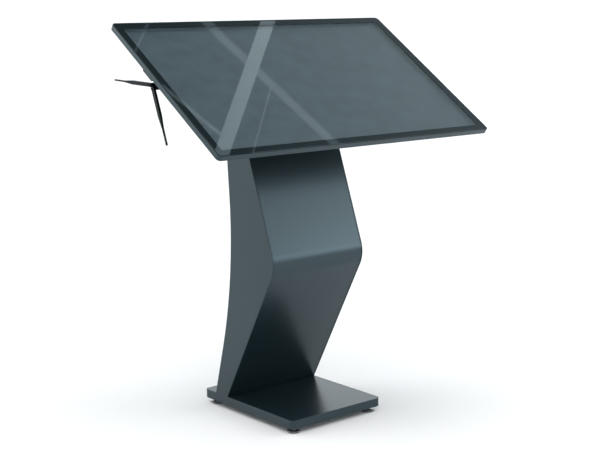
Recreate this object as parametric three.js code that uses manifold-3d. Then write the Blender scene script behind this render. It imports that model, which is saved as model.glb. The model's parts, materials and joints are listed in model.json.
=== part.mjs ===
// A tilted touchscreen kiosk on a folded steel column, in millimetres, +Z up.
// The user stands on the -Y side; +X is to the user's right.
// The origin lies on the floor, under the middle of the kiosk's bounding box.
import * as THREE from "three";
import { mergeVertices } from "three/addons/utils/BufferGeometryUtils.js";
import Module from "manifold-3d";

const wasm = await Module();
wasm.setup();

// ---- Driving dimensions -------------------------------------------------

const GAP = 0.3; // between pieces that touch
const DEPTH = 531.6; // front edge of the screen to the back of the base
const WIDTH = 340.8; // of the column and the base

// Screen: a 43-inch 16:9 panel behind a border of black glass.
const ACTIVE_WIDTH = 941.2;
const ACTIVE_HEIGHT = 529.4;
const SIDE_BORDER = 23.4;
const END_BORDER = 24.9;
const TILT = 33.6; // degrees from horizontal
const FRONT_EDGE_HEIGHT = 825.3;
const FRAME_DEPTH = 15;
const FRAME_WALL = 3;
const FRAME_CORNER = 12;
const GLASS_THICKNESS = 4;
const HOUSING_BACK = 54; // depth of the electronics housing, from the glass
const HOUSING_HALF_WIDTH = 444;
const HOUSING_LOW = 60; // up the slope from the front edge
const HOUSING_HIGH = 519;
const SHEET = 1.5; // housing and chassis steel

// Column: two bent lines in the Y-Z plane, one for the front and one for the back.
// Each has its apex where its two straight runs would meet, and its run per unit of
// rise above and of fall below the apex.
const FRONT_LINE = { y: -77.7, z: 465.6, above: 0.362, below: 0.541, radius: 83 };
const BACK_LINE = { y: 109.3, z: 420, above: 0.079, below: 0.264, radius: 1400 };
const SPINE_LINE = { y: 15.8, z: 443, above: 0.22, below: 0.4, radius: 300 };
const HEAD_DEPTH = 95; // from the glass plane to the top of the column
const HEAD_THICKNESS = 6;
const PANEL = 3; // side panel steel
const SKIN = 2; // fascia and rear panel steel
const REVEAL = 0.8; // open joint between a side panel and the skin beside it
const SETBACK = 0.8; // how far the skins lie behind the side panels' edges
const RETURN = 15; // folded edge of the skins

// Base.
const BASE_DEPTH = 416;
const BASE_TOP = 42;
const BASE_BOTTOM = 16.7;
const BASE_CORNER = 15;
const BALLAST_THICKNESS = 10;
const FOOT_INSET = 27;
const PAD_RADIUS = 19.5;
const STEM_RADIUS = 4;

// Computer module, in the screen's own frame.
const MODULE_FACE = -444; // X of the housing's left wall
const MODULE_LENGTH = 178;
const MODULE_LOW = 304.5;
const MODULE_HIGH = 422.5;
const MODULE_FRONT = 20; // depths from the glass
const MODULE_BACK = 50;

// Antennas: reach is from the elbow pin to the tip.
const ELBOW_X = -479;
const ELBOW_DEPTH = 42.6;
const ANTENNAS = [
  { name: "1", slope: 356, swing: -31.5 },
  { name: "2", slope: 341.4, swing: -149.3 },
];
const ANTENNA_REACH = 162.4;
const ANTENNA_WIDTH = 11;
const ANTENNA_FOLD = 3; // degrees short of a right angle

// Service door on the back of the column.
const DOOR_HEIGHT_AT = 790;
const DOOR_HALF = 110;
const DOOR_GAP = 1.5;
const DOOR_RETURN = 8;
const PIN_X = -113.5;
const PIN_OUT = 3.5;
const HINGE_AT = [-75, 75];
const LOCK_X = 88;

// Mains inlet low on the back of the column.
const INLET_HEIGHT_AT = 112;

const COLUMN_TOP = 1080; // above the head, before the sheets are trimmed to it
const BASE_FRONT = DEPTH / 2 - BASE_DEPTH;
const BASE_BACK = DEPTH / 2;
const SCREEN_WIDTH = ACTIVE_WIDTH + 2 * SIDE_BORDER;
const SCREEN_HEIGHT = ACTIVE_HEIGHT + 2 * END_BORDER;
const BALLAST_TOP = BASE_TOP - PANEL - GAP;

// ---- Materials ----------------------------------------------------------

function finish(color, roughness, metalness) {
  return () => new THREE.MeshStandardMaterial({ color, roughness, metalness });
}

const powderCoat = finish(0x3b464b, 0.55, 0.25);
const darkCoat = finish(0x1b2023, 0.6, 0.2);
const anodised = finish(0x5b6870, 0.4, 0.7);
const zincSteel = finish(0x9aa0a2, 0.4, 0.9);
const rawSteel = finish(0x6d7274, 0.45, 0.85);
const blackGlass = finish(0x20282c, 0.06, 0);
const panelGrey = finish(0x2c3235, 0.3, 0);
const blackPlastic = finish(0x15171a, 0.5, 0);
const greenBoard = finish(0x1f5136, 0.5, 0.1);
const brass = finish(0xb0893f, 0.3, 0.95);
const blackRubber = finish(0x191a1b, 0.85, 0);

// ---- Geometry helpers ---------------------------------------------------

const rad = THREE.MathUtils.degToRad;

// A closed three.js geometry as a manifold solid.
function solid(geometry) {
  const bare = geometry.clone();
  bare.deleteAttribute("normal");
  bare.deleteAttribute("uv");
  const merged = mergeVertices(bare, 1e-4);
  return new wasm.Manifold(
    new wasm.Mesh({
      numProp: 3,
      vertProperties: new Float32Array(merged.attributes.position.array),
      triVerts: new Uint32Array(merged.index.array),
    }),
  );
}

function geometryOf(manifold) {
  const mesh = manifold.getMesh();
  const geometry = new THREE.BufferGeometry();
  const positions = new Float32Array(mesh.vertProperties);
  geometry.setAttribute("position", new THREE.BufferAttribute(positions, 3));
  geometry.setIndex(new THREE.BufferAttribute(new Uint32Array(mesh.triVerts), 1));
  return geometry;
}

function join(...pieces) {
  return geometryOf(pieces.map(solid).reduce((whole, piece) => whole.add(piece)));
}

function cut(piece, ...tools) {
  return geometryOf(tools.map(solid).reduce((left, tool) => left.subtract(tool), solid(piece)));
}

// A box from its low and high corner on each axis.
function block([x0, x1], [y0, y1], [z0, z1]) {
  const box = new THREE.BoxGeometry(x1 - x0, y1 - y0, z1 - z0);
  return box.translate((x0 + x1) / 2, (y0 + y1) / 2, (z0 + z1) / 2);
}

const AXIS_TURN = { x: [0, 0, -Math.PI / 2], y: [0, 0, 0], z: [Math.PI / 2, 0, 0] };

// A cylinder, or a prism when it has few sides, along an axis between two ends.
function rod(axis, radius, from, to, [a, b], sides = 20) {
  const [turnX, , turnZ] = AXIS_TURN[axis];
  const bar = new THREE.CylinderGeometry(radius, radius, to - from, sides);
  bar.rotateZ(turnZ).rotateX(turnX);
  const mid = (from + to) / 2;
  if (axis === "x") return bar.translate(mid, a, b);
  if (axis === "y") return bar.translate(a, mid, b);
  return bar.translate(a, b, mid);
}

// A flat outline, drawn in X-Y, as a plate between two heights.
function plate(shape, low, high, curveSegments = 6) {
  const options = { depth: high - low, bevelEnabled: false, curveSegments };
  return new THREE.ExtrudeGeometry(shape, options).translate(0, 0, low);
}

const ALONG_X = new THREE.Matrix4().makeBasis(
  new THREE.Vector3(0, 1, 0),
  new THREE.Vector3(0, 0, 1),
  new THREE.Vector3(1, 0, 0),
);

// An outline of [y, z] points, as a sheet between two places on X.
function sheet(points, x0, x1) {
  const shape = new THREE.Shape(points.map(([y, z]) => new THREE.Vector2(y, z)));
  return plate(shape, 0, x1 - x0).applyMatrix4(ALONG_X).translate(x0, 0, 0);
}

function roundedRectangle([x0, x1], [y0, y1], radius) {
  const shape = new THREE.Shape();
  shape.moveTo(x0 + radius, y0);
  shape.lineTo(x1 - radius, y0);
  shape.absarc(x1 - radius, y0 + radius, radius, -Math.PI / 2, 0, false);
  shape.lineTo(x1, y1 - radius);
  shape.absarc(x1 - radius, y1 - radius, radius, 0, Math.PI / 2, false);
  shape.lineTo(x0 + radius, y1);
  shape.absarc(x0 + radius, y1 - radius, radius, Math.PI / 2, Math.PI, false);
  shape.lineTo(x0, y0 + radius);
  shape.absarc(x0 + radius, y0 + radius, radius, Math.PI, 1.5 * Math.PI, false);
  return shape;
}

// A turned piece: [radius, height] points from the bottom to the top, about Z.
function turned(points, sides = 24) {
  const outline = points.map(([r, z]) => new THREE.Vector2(r, z));
  return new THREE.LatheGeometry(outline, sides).rotateX(Math.PI / 2);
}

// A cable of a round section along a smooth line through the points.
function cable(points, radius, steps) {
  const section = new THREE.Shape().absarc(0, 0, radius, 0, 2 * Math.PI, false);
  const extrudePath = new THREE.CatmullRomCurve3(points.map((p) => new THREE.Vector3(...p)));
  return new THREE.ExtrudeGeometry(section, { steps, extrudePath, curveSegments: 4 });
}

// The points of a bent line from a top height down to a bottom height, moved sideways
// by an offset towards +Y. The bend is an arc of the line's radius.
function bentLine({ y, z, above, below, radius }, offset, top, bottom, arcSteps = 10) {
  const up = new THREE.Vector2(above, 1).normalize();
  const down = new THREE.Vector2(below, -1).normalize();
  const half = Math.acos(up.dot(down)) / 2;
  const inward = up.clone().add(down).normalize();
  const apex = new THREE.Vector2(y, z).addScaledVector(inward, offset / Math.sin(half));
  const arcRadius = radius - offset;
  const centre = apex.clone().addScaledVector(inward, arcRadius / Math.sin(half));
  const middle = inward.clone().negate().angle();
  const sweep = Math.PI / 2 - half;
  const points = [[apex.x + above * (top - apex.y), top]];
  for (let i = 0; i <= arcSteps; i += 1) {
    const turn = middle - sweep + (2 * sweep * i) / arcSteps;
    const y = centre.x + arcRadius * Math.cos(turn);
    points.push([y, centre.y + arcRadius * Math.sin(turn)]);
  }
  points.push([apex.x + below * (apex.y - bottom), bottom]);
  return points;
}

// The part of a closed bent strip between two offsets of one line.
function bentStrip(line, near, far, top, bottom) {
  return [
    ...bentLine(line, near, top, bottom),
    ...bentLine(line, far, top, bottom).reverse(),
  ];
}

// ---- The screen's frame of reference ------------------------------------

// Inside it, X is across, Y runs up the slope from the front edge, and Z is out of
// the glass, so a depth behind the glass is a negative Z.
const screen = new THREE.Group();
screen.position.set(0, -DEPTH / 2, FRONT_EDGE_HEIGHT);
screen.rotation.x = rad(TILT);
screen.updateMatrixWorld(true);

// A slab in the screen's frame, given by depths, moved into the kiosk's frame.
function slabAbove(depth) {
  const slab = block([-600, 600], [-400, 1000], [-depth, 500]);
  return slab.applyMatrix4(screen.matrixWorld);
}

function between(nearDepth, farDepth) {
  return [-farDepth, -nearDepth];
}

const kiosk = new THREE.Group();
kiosk.add(screen);

function add(parent, name, geometry, material) {
  const mesh = new THREE.Mesh(geometry, material());
  mesh.name = name;
  parent.add(mesh);
  return mesh;
}

// ---- Screen -------------------------------------------------------------

function screenOutline(inset, radius) {
  const half = SCREEN_WIDTH / 2 - inset;
  return roundedRectangle([-half, half], [inset, SCREEN_HEIGHT - inset], radius);
}

function buildFrontFrame() {
  const outer = plate(screenOutline(0, FRAME_CORNER), -FRAME_DEPTH, 0);
  const inner = screenOutline(FRAME_WALL, FRAME_CORNER - FRAME_WALL);
  const ledge = screenOutline(FRAME_WALL + 6, 5);
  const front = plate(inner, -GLASS_THICKNESS - 0.8, 1);
  const through = plate(ledge, -FRAME_DEPTH - 1, 1);
  const behind = plate(inner, -FRAME_DEPTH - 1, -GLASS_THICKNESS - 2.8);
  add(screen, "front_frame", cut(outer, front, through, behind), anodised);
}

function buildGlassAndPanel() {
  const inset = FRAME_WALL + GAP;
  const glass = plate(screenOutline(inset, FRAME_CORNER - inset), -GLASS_THICKNESS - 0.4, -0.4);
  add(screen, "touch_glass", glass, blackGlass);
  const rim = 8;
  const x = [SIDE_BORDER - rim - SCREEN_WIDTH / 2, SCREEN_WIDTH / 2 - SIDE_BORDER + rim];
  const y = [END_BORDER - rim, SCREEN_HEIGHT - END_BORDER + rim];
  add(screen, "lcd_panel", block(x, y, between(4.8, 12.8)), panelGrey);
}

function buildRearChassis() {
  const inset = FRAME_WALL + GAP;
  const corner = FRAME_CORNER - inset;
  const pan = plate(screenOutline(inset, corner), -14.7, -7.2);
  const hollow = plate(screenOutline(inset + SHEET, corner - SHEET), -14.7 + SHEET, 0);
  const harness = rod("z", 9, -20, 0, [20, 300]);
  add(screen, "rear_chassis", cut(pan, hollow, harness), rawSteel);
}

// A row of slots cut through a wall of the housing that faces up or down the slope.
function ventRow(y, depths, from, pitch, count) {
  const slots = [];
  for (let i = 0; i < count; i += 1) {
    const x = from + i * pitch;
    slots.push(block([x - 3, x + 3], [y - 4, y + 4], between(...depths)));
  }
  return slots;
}

function buildElectronicsHousing() {
  const x = [-HOUSING_HALF_WIDTH, HOUSING_HALF_WIDTH];
  const y = [HOUSING_LOW, HOUSING_HIGH];
  const grow = ([a, b], by) => [a - by, b + by];
  const body = block(x, y, between(15, HOUSING_BACK));
  const flange = block(grow(x, 10), grow(y, 10), between(15, 15 + SHEET));
  const hollow = block(grow(x, -SHEET), grow(y, -SHEET), between(14, HOUSING_BACK - SHEET));
  const opening = block(
    [MODULE_FACE - 5, MODULE_FACE + 5],
    [MODULE_LOW - 1, MODULE_HIGH + 1],
    between(MODULE_FRONT - 1, MODULE_BACK + 1),
  );
  const cableHole = rod("z", 8, -60, -50, [0, 407]);
  const boltHoles = mountBoltPlaces().map((at) => rod("z", 3.4, -60, -50, at, 12));
  const vents = [
    ...ventRow(HOUSING_LOW, [22, 46], -250, 12.5, 9),
    ...ventRow(HOUSING_LOW, [22, 46], 150, 12.5, 9),
    ...ventRow(HOUSING_HIGH, [22, 46], -50, 12.5, 9),
  ];
  const shell = join(body, flange);
  const housing = cut(shell, hollow, opening, cableHole, ...boltHoles, ...vents);
  add(screen, "electronics_housing", housing, darkCoat);
}

function buildElectronics() {
  const supply = block([40, 220], [370, 470], between(17, 45));
  add(screen, "power_supply", supply, zincSteel);
  const board = block([100, 270], [220, 340], between(20, 21.6));
  const heatSink = block([150, 190], [260, 300], between(21, 34));
  const sockets = block([110, 250], [222, 236], between(21, 30));
  const memory = block([205, 225], [265, 325], between(21, 24));
  add(screen, "driver_board", join(board, heatSink, sockets, memory), greenBoard);
  for (const [side, sign] of [["left", -1], ["right", 1]]) {
    const x = sign * 340;
    const box = block([x - 70, x + 70], [66, 106], between(17, 42));
    const cone = rod("y", 9, 60, 70, [x, -29.5]);
    add(screen, `speaker_${side}`, cut(box, cone), blackPlastic);
  }
}

// ---- Computer module ----------------------------------------------------

const MODULE_END = MODULE_FACE + MODULE_LENGTH;
const PLATE_FACE = MODULE_FACE - 2.3;

function antennaBore(radius, from, to, sides) {
  return ANTENNAS.map(({ slope }) => rod("x", radius, from, to, [slope, -ELBOW_DEPTH], sides));
}

function buildComputerCase() {
  const x = [MODULE_FACE + GAP, MODULE_END];
  const y = [MODULE_LOW, MODULE_HIGH];
  const tray = block(x, y, between(MODULE_FRONT + 1.3, MODULE_BACK));
  const hollow = block(
    [x[0] - 1, x[1] - SHEET],
    [y[0] + SHEET, y[1] - SHEET],
    between(MODULE_FRONT, MODULE_BACK - SHEET),
  );
  const intake = rod("z", 21, -55, -45, [MODULE_END - 50, 363.5]);
  add(screen, "pc_case", cut(tray, hollow, intake), zincSteel);
  add(screen, "pc_lid", block(x, y, between(MODULE_FRONT, MODULE_FRONT + 1)), zincSteel);
}

function buildMainboard() {
  const x = [MODULE_FACE + 14, MODULE_END - 4];
  const board = block(x, [MODULE_LOW + 4, MODULE_HIGH - 4], between(24, 25.6));
  const heatSink = block([MODULE_END - 76, MODULE_END - 26], [340, 388], between(25, 30));
  const memory = block([MODULE_FACE + 60, MODULE_FACE + 92], [318, 388], between(25, 31));
  const storage = block([MODULE_FACE + 24, MODULE_FACE + 46], [312, 392], between(25, 30));
  add(screen, "pc_mainboard", join(board, heatSink, memory, storage), greenBoard);
}

function buildFanRotor() {
  const fan = new THREE.Group();
  fan.position.set(MODULE_END - 50, 363.5, -46);
  screen.add(fan);
  const blades = [rod("z", 8, 0, 11, [0, 0], 16)];
  const bladeCount = 7;
  for (let i = 0; i < bladeCount; i += 1) {
    const vane = block([6, 19.5], [-1, 1], [1, 10]);
    blades.push(vane.rotateZ((2 * Math.PI * i) / bladeCount));
  }
  add(fan, "pc_fan_rotor", join(...blades), blackPlastic);
}

function buildEndPlate() {
  const x = [PLATE_FACE, MODULE_FACE - GAP];
  const y = [MODULE_LOW - 6, MODULE_HIGH + 6];
  const face = block(x, y, between(MODULE_FRONT - 2, MODULE_BACK + 2));
  const through = [PLATE_FACE - 2, MODULE_FACE + 2];
  const ports = [
    block(through, [319, 333], between(38, 44.5)),
    block(through, [319, 333], between(29, 35.5)),
    block(through, [338, 353], between(24, 30)),
  ];
  const button = rod("x", 4.3, ...through, [312.5, -31]);
  const screws = screwPlaces().map((at) => rod("x", 2.3, ...through, at, 12));
  const sockets = antennaBore(3.4, ...through, 12);
  add(screen, "pc_end_plate", cut(face, ...ports, button, ...screws, ...sockets), darkCoat);
}

// Places as [up the slope, Z].
function screwPlaces() {
  return [
    [MODULE_LOW - 1, -44],
    [MODULE_HIGH + 1, -44],
  ];
}

function buildEndPlateFittings() {
  const reach = [-477, PLATE_FACE - GAP];
  const outline = block(reach, [361.5, 409.5], between(29.5, 35.5));
  const grip = block([reach[0] + 4, reach[1] + 1], [366, 405], between(28, 37));
  const feet = [
    block([reach[1] - 2.5, reach[1]], [361.5, 372], between(27, 35.5)),
    block([reach[1] - 2.5, reach[1]], [399, 409.5], between(27, 35.5)),
  ];
  add(screen, "pc_pull_handle", join(cut(outline, grip), ...feet), blackPlastic);
  screwPlaces().forEach((at, i) => {
    const head = rod("x", 4.6, PLATE_FACE - 9, PLATE_FACE - GAP, at, 16);
    const shank = rod("x", 1.9, PLATE_FACE - 1, MODULE_FACE - 0.5, at, 12);
    add(screen, `pc_thumbscrew_${i + 1}`, join(head, shank), zincSteel);
  });
  const cap = rod("x", 4, PLATE_FACE - 2.2, MODULE_FACE + 1, [312.5, -31], 20);
  add(screen, "pc_power_button", cap, blackPlastic);
}

// ---- Antennas -----------------------------------------------------------

function buildAntenna({ name, slope, swing }) {
  const at = [slope, -ELBOW_DEPTH];
  const seat = PLATE_FACE - GAP;
  const hexagon = rod("x", 5, seat - 2.4, seat, at, 6);
  const barrel = rod("x", 3, seat - 11, seat + 4, at, 16);
  add(screen, `antenna_socket_${name}`, join(hexagon, barrel), brass);

  // In this group X stays across the kiosk and Y is the way the folded blade points.
  const elbow = new THREE.Group();
  elbow.position.set(ELBOW_X, ...at);
  elbow.rotation.x = rad(swing);
  screen.add(elbow);
  const start = seat - 2.4 - GAP - ELBOW_X;
  const sleeve = rod("x", 5.5, 6.5, start, [0, 0], 20);
  const bore = rod("x", 3.3, start - 9, start + 1, [0, 0], 16);
  const tongue = rod("z", 5.2, -2.3, 2.3, [0, 0], 20);
  const neck = block([0, 8], [-5.2, 5.2], [-2.3, 2.3]);
  const pinHole = rod("z", 1.6, -10, 10, [0, 0], 12);
  const base = cut(join(sleeve, tongue, neck), bore, pinHole);
  add(elbow, `antenna_base_${name}`, base, blackPlastic);

  const blade = new THREE.Group();
  blade.rotation.z = rad(ANTENNA_FOLD);
  elbow.add(blade);
  add(blade, `antenna_blade_${name}`, antennaBlade(), blackPlastic);
}

// An outline along the blade from the elbow to the tip: wide, then tapering to a thin end.
function paddleOutline(root, tip) {
  const taperFrom = 0.48 * ANTENNA_REACH;
  const taperTo = 0.72 * ANTENNA_REACH;
  const outline = new THREE.Shape();
  outline.moveTo(0, -root);
  outline.lineTo(taperFrom, -root);
  outline.lineTo(taperTo, -tip);
  outline.lineTo(ANTENNA_REACH - tip, -tip);
  outline.absarc(ANTENNA_REACH - tip, 0, tip, -Math.PI / 2, Math.PI / 2, false);
  outline.lineTo(taperTo, tip);
  outline.lineTo(taperFrom, root);
  outline.lineTo(0, root);
  return outline;
}

// The blade points along Y, is widest along Z, and holds its own pin in its fork.
function antennaBlade() {
  const half = ANTENNA_WIDTH / 2;
  const face = plate(paddleOutline(half, 2.3), -10, 10, 4).applyMatrix4(ALONG_X);
  const side = plate(paddleOutline(3.6, 2.2), -10, 10, 4).rotateZ(Math.PI / 2);
  const paddle = geometryOf(solid(face).intersect(solid(side)));
  const cheeks = rod("z", 5.2, -half, half, [0, 0], 20);
  const slot = block([-9, 9], [-9, 7.6], [-2.7, 2.7]);
  const pin = rod("z", 1.3, -4, 4, [0, 0], 12);
  return join(cut(join(paddle, cheeks), slot), pin);
}

// ---- Mounting of the screen on the column -------------------------------

// Places as [x, up the slope].
function mountBoltPlaces() {
  return [-110, 110].flatMap((x) => [195, 485].map((y) => [x, y]));
}

function headBoltPlaces() {
  return [-80, 80].flatMap((x) => [395, 419].map((y) => [x, y]));
}

// A hexagon-head bolt along Z with its head at the deep end.
function bolt([x, y], radius, headFrom, headTo, tip) {
  const head = rod("z", radius * 1.7, headFrom, headTo, [x, y], 6);
  return join(head, rod("z", radius, headTo - 0.5, tip, [x, y], 12));
}

function buildMount() {
  const near = HOUSING_BACK + GAP;
  const cableHole = (from, to) => rod("z", 8, from, to, [0, 407]);
  const mountHoles = mountBoltPlaces().map((at) => rod("z", 3.4, -70, -50, at, 12));
  const mountPlate = plate(roundedRectangle([-135, 135], [170, 510], 8), -near - 4, -near, 3);
  add(screen, "mount_plate", cut(mountPlate, cableHole(-70, -50), ...mountHoles), darkCoat);
  mountBoltPlaces().forEach((at, i) => {
    const geometry = bolt(at, 3, -near - 8.5, -near - 4 - GAP, -46);
    add(screen, `mount_bolt_${i + 1}`, geometry, zincSteel);
  });

  const channelDepths = [near + 4 + GAP, HEAD_DEPTH - GAP];
  const outer = block([-120, 120], [362, 454], between(...channelDepths));
  const inner = block([-121, 121], [366, 450], between(50, HEAD_DEPTH - GAP - 4));
  const headHoles = headBoltPlaces().map((at) => rod("z", 4.4, -110, -88, at, 12));
  const channel = cut(outer, inner, cableHole(-100, -80), ...headHoles);
  add(screen, "head_bracket", channel, darkCoat);

  const side = WIDTH / 2 - PANEL - GAP;
  const headPlate = block([-side, side], [382.6, 430.6], between(HEAD_DEPTH, HEAD_DEPTH + HEAD_THICKNESS));
  const drilled = cut(headPlate, cableHole(-110, -90), ...headHoles);
  add(screen, "head_plate", drilled, rawSteel);
  headBoltPlaces().forEach((at, i) => {
    const low = -HEAD_DEPTH - HEAD_THICKNESS - GAP;
    add(screen, `head_bolt_${i + 1}`, bolt(at, 4, low - 5.5, low, -84), zincSteel);
  });
}

// ---- Column -------------------------------------------------------------

function buildSidePanels() {
  const outline = [
    ...bentLine(FRONT_LINE, 0, COLUMN_TOP, BASE_TOP),
    [BASE_FRONT + BASE_CORNER, BASE_TOP],
    [BASE_FRONT + BASE_CORNER, BASE_BOTTOM],
    [BASE_BACK - BASE_CORNER, BASE_BOTTOM],
    [BASE_BACK - BASE_CORNER, BASE_TOP],
    ...bentLine(BACK_LINE, 0, COLUMN_TOP, BASE_TOP).reverse(),
  ];
  const outside = WIDTH / 2;
  const left = sheet(outline, -outside, PANEL - outside);
  const right = sheet(outline, outside - PANEL, outside);
  add(kiosk, "side_panel_left", cut(left, slabAbove(HEAD_DEPTH)), powderCoat);
  add(kiosk, "side_panel_right", cut(right, slabAbove(HEAD_DEPTH)), powderCoat);
}

// A bent skin between the side panels, with its long edges folded inwards.
// The sign is +1 where the inside of the column lies towards +Y.
function skin(line, sign) {
  const edge = WIDTH / 2 - PANEL - REVEAL;
  const bottom = BASE_TOP + GAP;
  const strip = (near, far) => bentStrip(line, sign * near, sign * far, COLUMN_TOP, bottom);
  const face = sheet(strip(SETBACK, SETBACK + SKIN), -edge, edge);
  const fold = strip(SETBACK + SKIN / 2, SETBACK + RETURN);
  const leftFold = sheet(fold, -edge, SKIN - edge);
  const rightFold = sheet(fold, edge - SKIN, edge);
  return cut(join(face, leftFold, rightFold), slabAbove(HEAD_DEPTH + HEAD_THICKNESS + GAP));
}

// A frame on the back of the column: X is across, Y out of the rear panel's face, Z up
// along the panel.
function backFrame(height) {
  const upper = height > BACK_LINE.z;
  const run = upper ? BACK_LINE.above : BACK_LINE.below;
  const rise = Math.abs(height - BACK_LINE.z);
  const lean = Math.atan(run);
  const frame = new THREE.Group();
  const y = BACK_LINE.y + run * rise - SETBACK / Math.cos(lean);
  frame.position.set(0, y, height);
  frame.rotation.x = upper ? -lean : lean;
  frame.updateMatrixWorld(true);
  return frame;
}

const doorFrame = backFrame(DOOR_HEIGHT_AT);
const inletFrame = backFrame(INLET_HEIGHT_AT);
kiosk.add(doorFrame, inletFrame);

function buildSkins() {
  add(kiosk, "front_fascia", skin(FRONT_LINE, 1), powderCoat);
  const half = DOOR_HALF + DOOR_GAP;
  const doorway = block([-half, half], [-20, 20], [-half, half]);
  const inletHole = block([-23.6, 23.6], [-20, 20], [-14, 42]);
  const rear = cut(
    skin(BACK_LINE, -1),
    doorway.applyMatrix4(doorFrame.matrixWorld),
    inletHole.applyMatrix4(inletFrame.matrixWorld),
  );
  add(kiosk, "rear_panel", rear, powderCoat);
}

function buildSpine() {
  const strip = bentStrip(SPINE_LINE, -2, 2, COLUMN_TOP, BASE_TOP + GAP);
  const spine = sheet(strip, -90, 90);
  const notch = block([-25, 25], [0, 300], [860, COLUMN_TOP + 10]);
  const boltRelief = block([-95, 95], [300, 500], [-HEAD_DEPTH - 14, 0]);
  boltRelief.applyMatrix4(screen.matrixWorld);
  add(kiosk, "column_spine", cut(spine, boltRelief, notch), rawSteel);
}

// ---- Service door -------------------------------------------------------

function buildServiceDoor() {
  const half = DOOR_HALF;
  const body = block([-half, half], [-DOOR_RETURN, 0], [-half, half]);
  const inside = half - SHEET;
  const hollow = block([-inside, inside], [-DOOR_RETURN - 1, -SKIN], [-inside, inside]);
  const lockHole = rod("y", 7.4, -10, 5, [LOCK_X, 0]);
  const pan = cut(body, hollow, lockHole);
  const leaves = [];
  const bores = [];
  for (const z of HINGE_AT) {
    leaves.push(rod("z", 3, z - 6.6, z + 6.6, [PIN_X, PIN_OUT], 16));
    leaves.push(block([PIN_X, -92], [1.2, 2.4], [z - 6.6, z + 6.6]));
    leaves.push(block([-109, -92], [-1, 2], [z - 6.6, z + 6.6]));
    bores.push(rod("z", 1.8, z - 8, z + 8, [PIN_X, PIN_OUT], 16));
  }
  add(doorFrame, "service_door", cut(join(pan, ...leaves), ...bores), powderCoat);
}

function buildDoorHinges() {
  HINGE_AT.forEach((z, i) => {
    const leaf = block([-140, PIN_X], [GAP, 2.2], [z - 20, z + 20]);
    const room = block([PIN_X - 4.5, PIN_X + 8], [-1, 8], [z - 7, z + 7]);
    const pin = rod("z", 1.5, z - 19, z + 19, [PIN_X, PIN_OUT], 16);
    const knuckles = [
      rod("z", 3, z - 20, z - 7, [PIN_X, PIN_OUT], 16),
      rod("z", 3, z + 7, z + 20, [PIN_X, PIN_OUT], 16),
    ];
    const hinge = join(cut(leaf, room), ...knuckles, pin);
    add(doorFrame, ["door_hinge_lower", "door_hinge_upper"][i], hinge, darkCoat);
  });
}

function buildDoorLock() {
  const head = rod("y", 9, GAP, 3.3, [LOCK_X, 0], 24);
  const barrel = rod("y", 7, -10, 1, [LOCK_X, 0], 20);
  const stud = rod("y", 2.5, -15, -9, [LOCK_X, 0], 12);
  const key = block([LOCK_X - 0.8, LOCK_X + 0.8], [2, 5], [-4, 4]);
  add(doorFrame, "door_lock_barrel", cut(join(head, barrel, stud), key), zincSteel);
  const cam = block([LOCK_X - 7, LOCK_X + 7], [-12.6, -10.6], [-8, 31]);
  const eye = rod("y", 2.8, -20, 0, [LOCK_X, 0], 12);
  add(doorFrame, "door_lock_cam", cut(cam, eye), zincSteel);
}

// ---- Mains inlet, switch, power block and cables ------------------------

const ROCKER_AT = 28; // up the panel from the middle of the socket

function buildInlet() {
  const flange = block([-28, 28], [GAP, 2.3], [-18, 46]);
  const body = block([-23, 23], [-28, 1], [-13.5, 41.5]);
  const socket = block([-12, 12], [-16, 5], [-8.5, 8.5]);
  const rockerRoom = block([-11, 11], [-16, 5], [ROCKER_AT - 8, ROCKER_AT + 8]);
  const pins = [-7, 0, 7].map((x) => block([x - 1, x + 1], [-17, -4], [-2, 2]));
  const inlet = join(cut(join(flange, body), socket, rockerRoom), ...pins);
  add(inletFrame, "mains_inlet", inlet, blackPlastic);
}

// The rocker rests with its upper half pressed in, and turns about X.
function buildRocker() {
  const rocker = new THREE.Group();
  rocker.position.set(0, -1, ROCKER_AT);
  rocker.rotation.x = rad(10);
  inletFrame.add(rocker);
  const outline = [
    [-7, -5],
    [1.5, -6.8],
    [4.2, -6.6],
    [2.4, 0],
    [4.2, 6.6],
    [1.5, 6.8],
    [-7, 5],
  ];
  add(rocker, "rocker_switch", sheet(outline, -10.4, 10.4), blackPlastic);
}

function buildPowerBlock() {
  const lean = Math.atan(SPINE_LINE.above);
  const height = 720;
  const holder = new THREE.Group();
  holder.position.set(0, SPINE_LINE.y + SPINE_LINE.above * (height - SPINE_LINE.z), height);
  holder.rotation.x = -lean;
  kiosk.add(holder);
  const body = block([-75, 75], [2 + GAP, 32], [-28, 28]);
  const sockets = [-48, 0, 48].map((x) => rod("y", 17, 24, 40, [x, 0], 20));
  add(holder, "power_block", cut(body, ...sockets), blackPlastic);
}

function buildCables() {
  const supplyRoute = [
    [30, 160, 163],
    [30, 151, 200],
    [30, 126, 300],
    [30, 100, 430],
    [30, 94, 560],
    [30, 96, 640],
    [30, 93, 686],
  ];
  add(kiosk, "supply_cable", cable(supplyRoute, 3.5, 30), blackRubber);
  const screenRoute = [
    [0, 109, 752],
    [0, 116, 800],
    [0, 122, 860],
    [0, 129, 920],
    [0, 130, 963],
    [0, 117, 985],
    [0, 101.5, 1008],
  ];
  add(kiosk, "screen_cable", cable(screenRoute, 3.5, 24), blackRubber);
}

// ---- Base ---------------------------------------------------------------

function footPlaces() {
  const x = WIDTH / 2 - FOOT_INSET;
  const ys = [BASE_FRONT + FOOT_INSET, BASE_BACK - FOOT_INSET];
  return ys.flatMap((y) => [-x, x].map((side) => [side, y]));
}

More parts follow.
